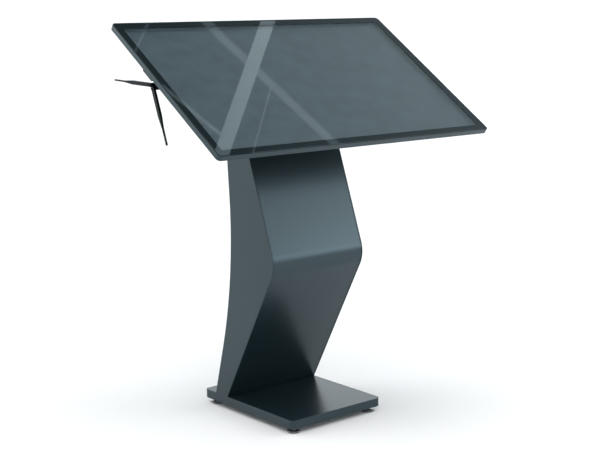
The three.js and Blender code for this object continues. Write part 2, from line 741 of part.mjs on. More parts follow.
function buildBase() {
  const half = WIDTH / 2;
  const y = [BASE_FRONT, BASE_BACK];
  const outer = plate(roundedRectangle([-half, half], y, BASE_CORNER), BASE_BOTTOM, BASE_TOP, 8);
  const lip = 0.5; // open joint beside each side panel
  const inner = half - 2 * PANEL - lip;
  const hollow = plate(
    roundedRectangle([-inner, inner], [y[0] + PANEL, y[1] - PANEL], 8),
    BASE_BOTTOM - 5,
    BASE_TOP - PANEL,
    4,
  );
  const beside = [y[0] + BASE_CORNER - GAP, y[1] - BASE_CORNER + GAP];
  const edge = half - PANEL - lip;
  const sides = [
    block([-half - 5, -edge], beside, [0, 60]),
    block([edge, half + 5], beside, [0, 60]),
  ];
  add(kiosk, "base_shell", cut(outer, hollow, ...sides), powderCoat);

  const ballastHoles = footPlaces().map((at) => rod("z", STEM_RADIUS + 0.4, 0, 60, at, 16));
  const ballast = plate(
    roundedRectangle([-158, 158], [BASE_FRONT + 8, BASE_BACK - 8], 10),
    BALLAST_TOP - BALLAST_THICKNESS,
    BALLAST_TOP,
    3,
  );
  add(kiosk, "ballast_plate", cut(ballast, ...ballastHoles), rawSteel);
}

function buildFeet() {
  const padProfile = [
    [0, 0],
    [PAD_RADIUS, 0],
    [PAD_RADIUS, 4],
    [PAD_RADIUS - 4, 7],
    [STEM_RADIUS + 3, 8],
    [STEM_RADIUS, 12],
    [STEM_RADIUS, BASE_TOP - PANEL - 1.5],
    [0, BASE_TOP - PANEL - 1.5],
  ];
  const nutTop = BALLAST_TOP - BALLAST_THICKNESS - GAP;
  footPlaces().forEach(([x, y], i) => {
    const foot = add(kiosk, `levelling_foot_${i + 1}`, turned(padProfile), blackRubber);
    foot.position.set(x, y, 0);
    const nut = cut(
      rod("z", 7.5, nutTop - 6, nutTop, [x, y], 6),
      rod("z", STEM_RADIUS + 0.4, 0, 60, [x, y], 16),
    );
    add(kiosk, `foot_locknut_${i + 1}`, nut, zincSteel);
  });
}

// ---- Assembly -----------------------------------------------------------

buildFrontFrame();
buildGlassAndPanel();
buildRearChassis();
buildElectronicsHousing();
buildElectronics();
buildComputerCase();
buildMainboard();
buildFanRotor();
buildEndPlate();
buildEndPlateFittings();
ANTENNAS.forEach(buildAntenna);
buildMount();
buildSidePanels();
buildSkins();
buildSpine();
buildServiceDoor();
buildDoorHinges();
buildDoorLock();
buildInlet();
buildRocker();
buildPowerBlock();
buildCables();
buildBase();
buildFeet();

export default kiosk;
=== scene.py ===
"""Looks for the tilted touchscreen kiosk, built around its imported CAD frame, in metres."""

import json
import math

import bmesh
import bpy
from mathutils import Matrix, Vector
from mathutils.bvhtree import BVHTree


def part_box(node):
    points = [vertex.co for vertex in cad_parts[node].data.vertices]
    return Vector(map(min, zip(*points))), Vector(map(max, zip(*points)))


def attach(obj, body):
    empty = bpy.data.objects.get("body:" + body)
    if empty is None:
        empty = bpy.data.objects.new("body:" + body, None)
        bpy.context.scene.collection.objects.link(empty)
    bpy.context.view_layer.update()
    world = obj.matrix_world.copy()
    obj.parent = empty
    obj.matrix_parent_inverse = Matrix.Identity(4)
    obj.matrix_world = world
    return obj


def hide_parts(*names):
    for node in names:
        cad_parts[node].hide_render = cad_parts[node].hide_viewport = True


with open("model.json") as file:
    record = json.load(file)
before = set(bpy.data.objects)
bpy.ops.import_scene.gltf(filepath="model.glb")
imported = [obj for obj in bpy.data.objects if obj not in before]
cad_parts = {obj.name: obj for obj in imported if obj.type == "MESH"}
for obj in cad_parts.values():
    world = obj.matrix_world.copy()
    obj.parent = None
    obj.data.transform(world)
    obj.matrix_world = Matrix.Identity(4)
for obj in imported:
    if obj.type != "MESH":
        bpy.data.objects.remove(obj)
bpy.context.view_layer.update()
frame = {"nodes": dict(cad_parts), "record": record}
nodes = frame["nodes"]
scene = bpy.context.scene

body_of_node = {
    node: body
    for body, members in frame["record"]["behaviour"]["bodies"].items()
    for node in members
}
slot_of_node = {s["node"]: s["material_slot"] for s in frame["record"]["subparts"]}

# ---- Dimensions shared with the CAD ---------------------------------------------------

DEPTH = 0.5316  # of the whole object
WIDTH = 0.3408  # of the column and the base
BASE_BACK = DEPTH / 2
BASE_FRONT = BASE_BACK - 0.416

TILT = math.radians(33.6)
FRONT_EDGE_HEIGHT = 0.8253
SCREEN_WIDTH = 0.988
SCREEN_HEIGHT = 0.5792
SIDE_BORDER = 0.0234
END_BORDER = 0.0249
FRAME_WALL = 0.003
FRAME_CORNER = 0.012
HOUSING_LIP = 0.0165  # how far the housing's flange lies behind the glass

# The column's back below its bend: the bend, its run per unit of fall, and the skin's setback.
BACK_BEND_Y, BACK_BEND_Z = 0.1093, 0.420
BACK_SLOPE = 0.264
BACK_SETBACK = 0.0008
INLET_HEIGHT = 0.112

PAD_RADIUS = 0.0195
STEM_RADIUS = 0.004
STEM_TOP = 0.0375

# The module's openings for connectors: least and most up the slope, and behind the glass.
CONNECTOR_OPENINGS = [
    (0.319, 0.333, 0.038, 0.0445),
    (0.319, 0.333, 0.029, 0.0355),
    (0.338, 0.353, 0.024, 0.030),
]

# ---- Camera ---------------------------------------------------------------------------

CAMERA_PLACE = (-2.4063, -2.85145, 1.2214)
CAMERA_HEADING = math.radians(40.021)  # to the right of the Y axis
CAMERA_DIP = math.radians(10.036)
CAMERA_ROLL = math.radians(-0.322)
CAMERA_LENS = 78.38  # mm, on a sensor 36 mm wide


def make_camera():
    data = bpy.data.cameras.new("camera")
    camera = bpy.data.objects.new("camera", data)
    scene.collection.objects.link(camera)
    data.sensor_width = 36
    data.lens = CAMERA_LENS
    data.clip_end = 1000
    heading = Matrix.Rotation(-CAMERA_HEADING, 4, "Z")
    dip = Matrix.Rotation(math.pi / 2 - CAMERA_DIP, 4, "X")
    roll = Matrix.Rotation(CAMERA_ROLL, 4, "Z")
    camera.matrix_world = Matrix.Translation(CAMERA_PLACE) @ (heading @ dip @ roll)
    scene.camera = camera


make_camera()

# ---- The screen's frame ---------------------------------------------------------------

# Its origin is the middle of the display's front edge, on the glass.
SCREEN_ORIGIN = Vector((0, -DEPTH / 2, FRONT_EDGE_HEIGHT))
SCREEN = Matrix.Translation(SCREEN_ORIGIN) @ Matrix.Rotation(TILT, 4, "X")


def on_screen(x, slope, out):
    """A point across, up the slope and out of the glass."""
    return SCREEN @ Vector((x, slope, out))


# ---- Materials ------------------------------------------------------------------------


class Nodes:
    """The node tree of a material or a world, with short calls for what repeats."""

    def __init__(self, owner, coordinates):
        owner.use_nodes = True
        self.tree = owner.node_tree
        self.tree.nodes.clear()
        self.place = self.add("ShaderNodeTexCoord").outputs[coordinates]

    def add(self, kind, inputs=None, **settings):
        """A new node, with its own settings and what goes into its sockets."""
        node = self.tree.nodes.new(kind)
        for key, value in settings.items():
            setattr(node, key, value)
        self.feed(node, inputs or {})
        return node

    def feed(self, node, inputs):
        """Sets each socket to a value, or links it to another node's output."""
        for key, value in inputs.items():
            if isinstance(value, bpy.types.NodeSocket):
                self.tree.links.new(value, node.inputs[key])
            else:
                node.inputs[key].default_value = value

    def noise(self, scale, detail=2.0, stretch=None):
        where = self.place
        if stretch:
            mapping = self.add("ShaderNodeMapping", {"Vector": where, "Scale": stretch})
            where = mapping.outputs[0]
        inputs = {"Vector": where, "Scale": scale, "Detail": detail}
        return self.add("ShaderNodeTexNoise", inputs).outputs["Fac"]

    def spread(self, value, low, high, start=0.3, end=0.7):
        """The value's range from start to end, spread between low and high."""
        inputs = {
            "Value": value,
            "From Min": start,
            "From Max": end,
            "To Min": low,
            "To Max": high,
        }
        return self.add("ShaderNodeMapRange", inputs).outputs["Result"]

    def colours(self, value, stops):
        """A ramp through the stops, each a position and a colour."""
        ramp = self.add("ShaderNodeValToRGB", {"Fac": value})
        elements = ramp.color_ramp.elements
        for i, (at, colour) in enumerate(stops):
            element = elements[i] if i < 2 else elements.new(at)
            element.position = at
            element.color = (*colour, 1)
        return ramp.outputs["Color"]

    def bump(self, height, distance, strength):
        inputs = {"Height": height, "Distance": distance, "Strength": strength}
        return self.add("ShaderNodeBump", inputs).outputs["Normal"]

    def calculate(self, operation, *values):
        """One sum with values or other nodes' outputs."""
        inputs = dict(enumerate(values))
        return self.add("ShaderNodeMath", inputs, operation=operation).outputs[0]


class Surface(Nodes):
    """A new material with one shader, whose sockets set() fills."""

    def __init__(self, name, kind="ShaderNodeBsdfPrincipled"):
        self.material = bpy.data.materials.new(name)
        super().__init__(self.material, "Object")
        self.shader = self.add(kind)
        self.add("ShaderNodeOutputMaterial", {"Surface": self.shader.outputs[0]})

    def set(self, **values):
        self.feed(self.shader, {key.replace("_", " "): v for key, v in values.items()})


def shade(colour, factor):
    return tuple(min(1.0, c * factor) for c in colour)


def coated(name, colour, roughness, grain=1.0, gloss=0.5, tint=(1, 1, 1)):
    """Powder-coated sheet steel: a fine orange-peel skin with a little variation."""
    m = Surface(name)
    cloud = m.noise(2.5, detail=0.0)
    speckle = m.noise(2600.0, detail=1.0)
    peel = m.noise(620.0)
    inputs = {
        "Factor": 1.0,
        "A": m.colours(cloud, [(0.2, shade(colour, 0.97)), (0.8, shade(colour, 1.03))]),
        "B": m.colours(speckle, [(0.35, (0.97, 0.97, 0.97)), (0.65, (1.0, 1.0, 1.0))]),
    }
    mix = m.add("ShaderNodeMix", inputs, data_type="RGBA", blend_type="MULTIPLY")
    m.set(
        Base_Color=mix.outputs["Result"],
        Roughness=m.spread(cloud, roughness - 0.012, roughness + 0.012, 0.2, 0.8),
        Specular_IOR_Level=gloss,
        Specular_Tint=(*tint, 1),
        Normal=m.bump(peel, 0.00001 * grain, 0.3),
    )
    return m.material


def metal(name, colour, roughness, stretch=None):
    """Bare or plated steel, brushed along the axis whose stretch is small."""
    m = Surface(name)
    lines = m.noise(400.0, detail=3.0, stretch=stretch)
    cloud = m.noise(14.0)
    m.set(
        Base_Color=m.colours(cloud, [(0.3, shade(colour, 0.88)), (0.7, colour)]),
        Metallic=1.0,
        Roughness=m.spread(lines, roughness - 0.07, roughness + 0.08),
        Normal=m.bump(lines, 0.00001, 0.4),
    )
    return m.material


def moulded(name, colour, roughness, grain=900.0, depth=0.00003, gloss=0.5):
    """Moulded plastic or rubber with a fine texture."""
    m = Surface(name)
    texture = m.noise(grain)
    cloud = m.noise(20.0)
    m.set(
        Base_Color=m.colours(cloud, [(0.3, shade(colour, 0.85)), (0.7, shade(colour, 1.12))]),
        Roughness=m.spread(texture, roughness - 0.05, roughness + 0.05),
        Specular_IOR_Level=gloss,
        Normal=m.bump(texture, depth, 0.6),
    )
    return m.material


GLASS_INDEX = 1.5
HEAD_ON_MIRROR = 0.04  # the share of light that the glass mirrors when seen head on
MIRROR_RISE = 5.0  # the power by which that share rises to all of it, seen edge on


def wiped(m, low, high):
    """Roughness in faint wide wipes across the glass."""
    return m.spread(m.noise(7.0, detail=3.0, stretch=(1.0, 2.6, 2.6)), low, high)


def printed_glass(name, colour):
    """Polished glass over a dark print."""
    m = Surface(name)
    cloud = m.noise(2.2)
    m.set(
        Base_Color=m.colours(cloud, [(0.3, shade(colour, 0.95)), (0.7, shade(colour, 1.05))]),
        Roughness=wiped(m, 0.01, 0.03),
        Specular_Tint=(0.74, 0.92, 1.0, 1),
        IOR=GLASS_INDEX,
    )
    return m.material


def clear_pane(name):
    """Thin clear glass: it mirrors at its face and lets the rest through."""
    m = Surface(name, "ShaderNodeMixShader")
    facing = m.add("ShaderNodeLayerWeight").outputs["Facing"]
    steep = m.calculate("POWER", facing, MIRROR_RISE)
    share = m.calculate("MULTIPLY_ADD", steep, 1 - HEAD_ON_MIRROR, HEAD_ON_MIRROR)
    through = m.add("ShaderNodeBsdfTransparent")
    mirror = m.add("ShaderNodeBsdfGlossy", {"Roughness": wiped(m, 0.008, 0.03)})
    m.feed(m.shader, {0: share, 1: through.outputs[0], 2: mirror.outputs[0]})
    return m.material


def circuit(name):
    """Green solder resist with faint copper tracks."""
    m = Surface(name)
    tracks = {
        "Vector": m.place,
        "Scale": 90.0,
        "Mortar Size": 0.012,
        "Color1": (0.012, 0.09, 0.045, 1),
        "Color2": (0.016, 0.11, 0.055, 1),
        "Mortar": (0.035, 0.19, 0.09, 1),
    }
    m.set(
        Base_Color=m.add("ShaderNodeTexBrick", tracks).outputs["Color"],
        Roughness=m.spread(m.noise(60.0), 0.3, 0.5),
    )
    return m.material


POWDER = coated(
    "powder_coat", (0.0038, 0.0090, 0.0112), 0.26, gloss=0.72, tint=(0.62, 0.87, 1.0)
)
FRAME = coated(
    "frame_coat", (0.005, 0.0085, 0.010), 0.3, grain=0.5, gloss=0.75, tint=(0.55, 0.85, 1.0)
)
LIP = coated("frame_lip", (0.003, 0.0048, 0.006), 0.3, gloss=0.12)
DARK = coated("dark_coat", (0.012, 0.0135, 0.015), 0.5)
# Painted light: the bezel is lighter than its own colour, to make up for the shade on its
# walls deep in the recess.
BEZEL_PAINTED_LIGHT = coated("panel_bezel_painted_light", (0.10, 0.155, 0.178), 0.45)
ZINC = metal("zinc_plate", (0.62, 0.64, 0.66), 0.34)
RAW = metal("raw_steel", (0.34, 0.36, 0.37), 0.42, stretch=(1, 1, 0.03))
PAD_STEEL = metal("pad_steel", (0.30, 0.31, 0.325), 0.3)
BRASS = metal("gilt_brass", (0.78, 0.58, 0.26), 0.25)
PLASTIC = moulded("black_plastic", (0.013, 0.0145, 0.016), 0.45)
ANTENNA = moulded("antenna_plastic", (0.002, 0.0045, 0.006), 0.25, grain=1500.0, gloss=0.18)
RUBBER = moulded("black_rubber", (0.017, 0.017, 0.018), 0.75, grain=700.0, depth=0.00006)
CELL = moulded("display_cell", (0.048, 0.081, 0.098), 0.5, grain=5000.0, depth=0.000005)
BOARD = circuit("circuit_board")
BORDER_GLASS = printed_glass("border_glass", (0.0068, 0.0125, 0.0150))
CLEAR_GLASS = clear_pane("clear_glass")

# ---- Mesh helpers ---------------------------------------------------------------------

SHARP_ANGLE = math.radians(28)  # edges that fold by more than this are rounded
FLAT_ANGLE = math.radians(0.6)  # faces that fold by less than this are one face
WELD_DISTANCE = 2e-6
CORNER_STEPS = 8


def new_piece(name, verts, faces, materials, indices=None):
    """A mesh object: indices gives each face's place in the list of materials."""
    mesh = bpy.data.meshes.new(name)
    mesh.from_pydata(verts, [], faces)
    mesh.update()
    piece = bpy.data.objects.new(name, mesh)
    scene.collection.objects.link(piece)
    for material in materials:
        mesh.materials.append(material)
    if indices:
        for polygon, index in zip(mesh.polygons, indices):
            polygon.material_index = index
    return piece


def fit(piece, body, slot, *replaced):
    """Puts the piece on its body, in place of CAD nodes where any are named. The slot is not
    used.
    """
    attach(piece, body)
    if replaced:
        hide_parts(*replaced)


def soften(piece, angle):
    """Shades the piece smooth, except where it folds by more than the angle in radians."""
    mesh = piece.data
    mesh.polygons.foreach_set("use_smooth", [True] * len(mesh.polygons))
    mesh.set_sharp_from_angle(angle=angle)
    return piece


def round_edges(piece, width, segments, keep=None):
    """Rounds the piece's sharp edges, except those that keep leaves sharp."""
    bm = bmesh.new()
    bm.from_mesh(piece.data)
    weights = bm.edges.layers.float.get("bevel_weight_edge")
    weights = weights or bm.edges.layers.float.new("bevel_weight_edge")
    for edge in bm.edges:
        sharp = len(edge.link_faces) == 2 and edge.calc_face_angle(0) > SHARP_ANGLE
        if sharp and not (keep and keep((edge.verts[0].co + edge.verts[1].co) / 2)):
            edge[weights] = 1.0
    bm.to_mesh(piece.data)
    bm.free()
    soften(piece, SHARP_ANGLE)
    bevel = piece.modifiers.new("edges", "BEVEL")
    bevel.limit_method = "WEIGHT"
    bevel.width = width
    bevel.segments = segments
    bevel.harden_normals = True
    bevel.miter_outer = "MITER_ARC"


def refined(node, material, width, segments, pick=None, others=(), keep=None):
    """The CAD node's shape as a clean mesh with rounded edges, in place of the node.

    pick gives the material number of a face by its middle: 0 is material, 1 the first other.
    """
    bm = bmesh.new()
    bm.from_mesh(nodes[node].data)
    bmesh.ops.remove_doubles(bm, verts=bm.verts, dist=WELD_DISTANCE)
    bmesh.ops.dissolve_limit(
        bm,
        angle_limit=FLAT_ANGLE,
        use_dissolve_boundaries=False,
        verts=bm.verts,
        edges=bm.edges,
    )
    bmesh.ops.recalc_face_normals(bm, faces=bm.faces)
    bm.verts.ensure_lookup_table()
    verts = [v.co.copy() for v in bm.verts]
    faces = [[v.index for v in f.verts] for f in bm.faces]
    indices = [pick(f.calc_center_median()) for f in bm.faces] if pick else None
    bm.free()
    piece = new_piece(f"{node}.finish", verts, faces, [material, *others], indices)
    round_edges(piece, width, segments, keep)
    fit(piece, body_of_node[node], slot_of_node[node], node)


def rounded_outline(x0, x1, y0, y1, radius):
    """A rounded rectangle's points, anticlockwise from its lower left corner."""
    corners = [
        (x0 + radius, y0 + radius, 180),
        (x1 - radius, y0 + radius, 270),
        (x1 - radius, y1 - radius, 0),
        (x0 + radius, y1 - radius, 90),
    ]
    points = []
    for cx, cy, start in corners:
        for i in range(CORNER_STEPS + 1):
            turn = math.radians(start + 90 * i / CORNER_STEPS)
            points.append((cx + radius * math.cos(turn), cy + radius * math.sin(turn)))
    return points


def bands_between(count, steps):
    """The faces that join that many rings of steps points, numbered ring after ring."""
    faces = []
    for level in range(count - 1):
        for i in range(steps):
            a, b, j = level * steps, (level + 1) * steps, (i + 1) % steps
            faces.append([a + i, a + j, b + j, b + i])
    return faces


def circle(radius, height, steps):
    turns = [2 * math.pi * i / steps for i in range(steps)]
    return [Vector((radius * math.cos(t), radius * math.sin(t), height)) for t in turns]


# ---- The glass and the display --------------------------------------------------------

PICTURE_CORNER = 0.0006


def outline_edges(inset):
    """The screen's outline drawn in: least and most across, and up the slope."""
    half = SCREEN_WIDTH / 2 - inset
    return (-half, half, inset, SCREEN_HEIGHT - inset)


def picture_edges(grow=0.0):
    """The picture area's outline grown outwards: least and most across, and up the slope."""
    half = SCREEN_WIDTH / 2 - SIDE_BORDER + grow
    return (-half, half, END_BORDER - grow, SCREEN_HEIGHT - END_BORDER + grow)


def screen_ring(edges, radius, out):
    return [on_screen(x, y, out) for x, y in rounded_outline(*edges, radius)]


def stacked(name, rings, caps, materials):
    """A closed mesh through rings of equal length, with each cap's material number."""
    steps = len(rings[0])
    bands = bands_between(len(rings), steps)
    first = list(range(steps))[::-1]
    last = [(len(rings) - 1) * steps + i for i in range(steps)]
    verts = [v for ring in rings for v in ring]
    indices = [caps[0], *([0] * len(bands)), caps[1]]
    return new_piece(name, verts, [first, *bands, last], materials, indices)


def make_glass():
    """Clear glass with a black printed border round the picture area."""
    gap, polish = 0.0003, 0.0006
    inset = FRAME_WALL + gap
    corner = FRAME_CORNER - inset
    top, bottom = -0.0004, -0.0044
    clear_below, clear_corner = 0.0085, 0.002  # the clear part is wider at the lower face
    rings = [
        screen_ring(picture_edges(clear_below), clear_corner, bottom),
        screen_ring(outline_edges(inset), corner, bottom),
        screen_ring(outline_edges(inset), corner, top - polish),
        screen_ring(outline_edges(inset + polish), corner - polish, top),
        screen_ring(picture_edges(), PICTURE_CORNER, top),
    ]
    glass = stacked("touch_glass.sheet", rings, (1, 1), [BORDER_GLASS, CLEAR_GLASS])
    fit(glass, "kiosk_body", "screen_glass", "touch_glass")


def make_panel():
    """The display module: a metal bezel round a picture face that lies deep in it. The bezel's
    colour is lighter than its own: painted light against the shade on its walls.
    """
    back, front, face = -0.0128, -0.0048, -0.0118
    bezel, bezel_corner = 0.008, 0.0015
    rings = [
        screen_ring(picture_edges(bezel), bezel_corner, back),
        screen_ring(picture_edges(bezel), bezel_corner, front),
        screen_ring(picture_edges(), PICTURE_CORNER, front),
        screen_ring(picture_edges(), PICTURE_CORNER, face),
    ]
    panel = stacked("lcd_panel.module", rings, (0, 1), [BEZEL_PAINTED_LIGHT, CELL])
    fit(panel, "kiosk_body", "panel_grey", "lcd_panel")


make_glass()
make_panel()

# ---- Pieces that keep the CAD's shape -------------------------------------------------

# Each node's material, the width of its rounded edges, and the steps across them.
FINISHES = {
    "rear_chassis": (RAW, 0.0005, 2),
    "electronics_housing": (DARK, 0.0008, 2),
    "power_supply": (ZINC, 0.0008, 2),
    "driver_board": (BOARD, 0.0002, 1),
    "speaker_left": (PLASTIC, 0.0015, 2),
    "speaker_right": (PLASTIC, 0.0015, 2),
    "pc_case": (ZINC, 0.0003, 2),
    "pc_lid": (ZINC, 0.0003, 2),
    "pc_mainboard": (BOARD, 0.0002, 1),
    "pc_fan_rotor": (PLASTIC, 0.0003, 1),
    "pc_end_plate": (DARK, 0.0003, 2),
    "pc_pull_handle": (PLASTIC, 0.001, 2),
    "pc_thumbscrew_1": (ZINC, 0.0004, 2),
    "pc_thumbscrew_2": (ZINC, 0.0004, 2),
    "pc_power_button": (PLASTIC, 0.0004, 2),
    "antenna_socket_1": (BRASS, 0.0003, 1),
    "antenna_socket_2": (BRASS, 0.0003, 1),
    "antenna_base_1": (ANTENNA, 0.0005, 2),
    "antenna_base_2": (ANTENNA, 0.0005, 2),
    "antenna_blade_1": (ANTENNA, 0.0009, 3),
    "antenna_blade_2": (ANTENNA, 0.0009, 3),
    "mount_plate": (DARK, 0.0006, 2),
    "head_bracket": (DARK, 0.0008, 2),
    "head_plate": (RAW, 0.0006, 2),
    "side_panel_left": (POWDER, 0.0007, 3),
    "side_panel_right": (POWDER, 0.0007, 3),
    "front_fascia": (POWDER, 0.0008, 2),
    "rear_panel": (POWDER, 0.0006, 2),
    "column_spine": (RAW, 0.0005, 2),
    "service_door": (POWDER, 0.0006, 2),
    "door_hinge_lower": (DARK, 0.0004, 2),
    "door_hinge_upper": (DARK, 0.0004, 2),
    "door_lock_barrel": (ZINC, 0.0004, 2),
    "door_lock_cam": (ZINC, 0.0003, 2),
    "rocker_switch": (PLASTIC, 0.0004, 2),
    "power_block": (PLASTIC, 0.001, 2),
    "supply_cable": (RUBBER, 0.0002, 1),
    "screen_cable": (RUBBER, 0.0002, 1),
    "base_shell": (POWDER, 0.0012, 3),
    "ballast_plate": (RAW, 0.0006, 2),
}
for fastener in ("mount_bolt", "head_bolt", "foot_locknut"):
    FINISHES.update({f"{fastener}_{i}": (ZINC, 0.0003, 1) for i in range(1, 5)})

WELDED = ("side_panel_left", "side_panel_right", "base_shell")
SEAM_WIDTH, SEAM_LENGTH, SEAM_TOP = 0.0045, 0.018, 0.044

LIP_LEVEL = -0.0002  # out of the glass: only the frame's face beside it lies higher

# The inlet's pins in the frame of its flange: half width, half height, and depths.
PINS_X, PINS_Z = 0.0082, 0.0021
PINS_Y = (-0.0159, -0.0035)


def at_welded_seam(point):
    """True on the ground welds between a side panel and the base."""
    outer = abs(point.x) > WIDTH / 2 - SEAM_WIDTH
    ends = min(abs(point.y - BASE_FRONT), abs(point.y - BASE_BACK)) < SEAM_LENGTH
    return outer and ends and point.z < SEAM_TOP


def on_front_lip(point):
    """Chooses the frame's second material on the narrow face beside the glass."""
    return int((SCREEN.inverted() @ point).z > LIP_LEVEL)


def on_contact_pin(point):
    """Chooses the inlet's second material on the three pins in its mouth."""
    lean = math.atan(BACK_SLOPE)
    back = BACK_BEND_Y + BACK_SLOPE * (BACK_BEND_Z - INLET_HEIGHT)
    origin = Vector((0, back - BACK_SETBACK / math.cos(lean), INLET_HEIGHT))
    at = Matrix.Rotation(-lean, 3, "X") @ (point - origin)
    return int(abs(at.x) < PINS_X and abs(at.z) < PINS_Z and PINS_Y[0] < at.y < PINS_Y[1])


refined("front_frame", FRAME, 0.0008, 3, pick=on_front_lip, others=(LIP,))
refined("mains_inlet", PLASTIC, 0.0004, 2, pick=on_contact_pin, others=(BRASS,))
for node, finish in FINISHES.items():
    refined(node, *finish, keep=at_welded_seam if node in WELDED else None)

# ---- Levelling feet -------------------------------------------------------------------

THREAD_ROOT = STEM_RADIUS - 0.0007
THREAD_START, THREAD_END = 0.0108, STEM_TOP - 0.0018
THREAD_PITCH = 0.00125

# Radius and height of the foot's outline from the floor up: its rubber sole, then the steel
# pad up to the stem.
SOLE = [
    (0, 0),
    (PAD_RADIUS - 0.0012, 0),
    (PAD_RADIUS - 0.0006, 0.0006),
    (PAD_RADIUS - 0.0006, 0.0019),
    (PAD_RADIUS - 0.0009, 0.0021),
]
PAD = [
    (PAD_RADIUS - 0.0003, 0.0023),
    (PAD_RADIUS, 0.0028),
    (PAD_RADIUS, 0.0036),
    (PAD_RADIUS - 0.0004, 0.0042),
    (PAD_RADIUS - 0.0012, 0.0045),
    (0.013, 0.0056),
    (0.0088, 0.0068),
    (0.0078, 0.0075),
    (0.0072, 0.0095),
    (0.0066, 0.0102),
    (THREAD_ROOT, 0.0104),
]


def stem_outline():
    """The threaded stem as plain ridges, up to its chamfered top."""
    outline = []
    height = THREAD_START
    while height < THREAD_END:
        outline += [(STEM_RADIUS, height + 0.0003), (THREAD_ROOT, height + 0.0010)]
        height += THREAD_PITCH
    return outline + [(STEM_RADIUS - 0.001, STEM_TOP), (0, STEM_TOP)]


def lathe(name, outline, place, materials, indices, steps=48):
    """A turned piece from an outline that starts and ends on the axis."""
    foot, *rims, top = outline
    rings = [circle(radius, height, steps) for radius, height in rims]
    verts = [Vector((0, 0, foot[1])), *(v for ring in rings for v in ring)]
    last, first = len(verts), len(verts) - steps
    verts.append(Vector((0, 0, top[1])))
    turns = [(i, (i + 1) % steps) for i in range(steps)]
    faces = [[0, 1 + j, 1 + i] for i, j in turns]
    faces += [[1 + v for v in face] for face in bands_between(len(rings), steps)]
    faces += [[first + i, first + j, last] for i, j in turns]
    numbers = [index for index in indices for _ in range(steps)]
    return new_piece(name, [place @ v for v in verts], faces, materials, numbers)


def make_foot(i):
    low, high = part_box(f"levelling_foot_{i}")
    place = Matrix.Translation(((low[0] + high[0]) / 2, (low[1] + high[1]) / 2, 0))
    stem = stem_outline()
    numbers = [0] * (len(SOLE) - 1) + [1] * len(PAD) + [2] * len(stem)
    materials = [RUBBER, PAD_STEEL, ZINC]
    foot = lathe(f"levelling_foot_{i}.turned", SOLE + PAD + stem, place, materials, numbers)
    fit(soften(foot, math.radians(35)), f"foot_{i}", "black_rubber", f"levelling_foot_{i}")


for i in range(1, 5):
    make_foot(i)

# ---- Screws and connectors ------------------------------------------------------------

BACK_SCREWS_X = 0.155
BACK_SCREWS_Z = (0.10, 0.20, 0.34, 0.50, 0.64, 0.95)
# Along the housing's front and back flanges, and up its two end flanges.
HOUSING_LONG_X = [x / 1000 for x in range(-420, 421, 120)]
HOUSING_LONG_SLOPES = (0.0553, 0.5237)
HOUSING_END_X = 0.4488
HOUSING_END_SLOPES = (0.13, 0.21, 0.29, 0.44)
HINGE_SCREWS_X = -0.1285
HINGE_SCREWS_APART = 0.012  # above and below the hinge's middle
INLET_SCREWS_X = 0.021


def on_surface(node, x, z):
    """The point and outward normal where a line from behind first meets the CAD node."""
    mesh = nodes[node].data
    polygons = [p.vertices for p in mesh.polygons]
    tree = BVHTree.FromPolygons([v.co for v in mesh.vertices], polygons)
    point, normal, _, _ = tree.ray_cast(Vector((x, 1, z)), Vector((0, -1, 0)))
    if point is None:
        raise RuntimeError(f"no surface of {node} at {x}, {z}")
    return point, normal


def hexagon(radius, height, steps):
    """A hexagon in that many points, so that bands join it to a circle of as many."""
    points = []
    for i in range(steps):
        turn = 2 * math.pi * i / steps
        off_side = (turn + math.pi / 6) % (math.pi / 3) - math.pi / 6
        reach = radius * math.cos(math.pi / 6) / math.cos(off_side)
        points.append(Vector((reach * math.cos(turn), reach * math.sin(turn), height)))
    return points


def screw_head(radius, height, steps=24):
    """A button head with a hexagonal socket, standing on z = 0: its points and faces."""
    socket = radius * 0.45
    outline = [
        (radius, -0.0003),
        (radius, height * 0.25),
        (radius * 0.9, height * 0.7),
        (radius * 0.68, height),
        (socket * 1.2, height),
    ]
    rings = [circle(r, z, steps) for r, z in outline]
    rings += [hexagon(socket, height, steps), hexagon(socket, height * 0.35, steps)]
    first = (len(rings) - 1) * steps
    faces = bands_between(len(rings), steps)
    faces += [[first + i for i in range(steps)], list(range(steps))[::-1]]
    return [v for ring in rings for v in ring], faces


def make_screws(name, seats, radius, height, material, slot):
    """One piece of equal screw heads, each on a seat: a point and the way out of it."""
    head, head_faces = screw_head(radius, height)
    verts, faces = [], []
    for point, normal in seats:
        turn = Vector((0, 0, 1)).rotation_difference(normal).to_matrix()
        first = len(verts)
        verts += [point + turn @ v for v in head]
        faces += [[first + i for i in face] for face in head_faces]
    piece = new_piece(name, verts, faces, [material])
    fit(soften(piece, math.radians(32)), "kiosk_body", slot)


def make_back_screws():
    places = [(x, z) for x in (-BACK_SCREWS_X, BACK_SCREWS_X) for z in BACK_SCREWS_Z]
    seats = [on_surface("rear_panel", x, z) for x, z in places]
    make_screws("rear_panel_screws", seats, 0.0037, 0.0018, DARK, "dark_coat")


def make_housing_screws():
    places = [(x, slope) for x in HOUSING_LONG_X for slope in HOUSING_LONG_SLOPES]
    ends = (-HOUSING_END_X, HOUSING_END_X)
    places += [(x, slope) for x in ends for slope in HOUSING_END_SLOPES]
    out = SCREEN.to_3x3() @ Vector((0, 0, -1))
    seats = [(on_screen(x, slope, -HOUSING_LIP), out) for x, slope in places]
    make_screws("housing_screws", seats, 0.0029, 0.0014, ZINC, "zinc_steel")


def make_hinge_screws(hinge):
    low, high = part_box(hinge)
    middle = (low[2] + high[2]) / 2
    heights = (middle - HINGE_SCREWS_APART, middle + HINGE_SCREWS_APART)
    seats = [on_surface(hinge, HINGE_SCREWS_X, z) for z in heights]
    make_screws(f"{hinge}_screws", seats, 0.003, 0.0012, ZINC, "zinc_steel")


def make_inlet_screws():
    sides = (-INLET_SCREWS_X, INLET_SCREWS_X)
    seats = [on_surface("mains_inlet", x, INLET_HEIGHT) for x in sides]
    make_screws("inlet_screws", seats, 0.0026, 0.0012, ZINC, "zinc_steel")


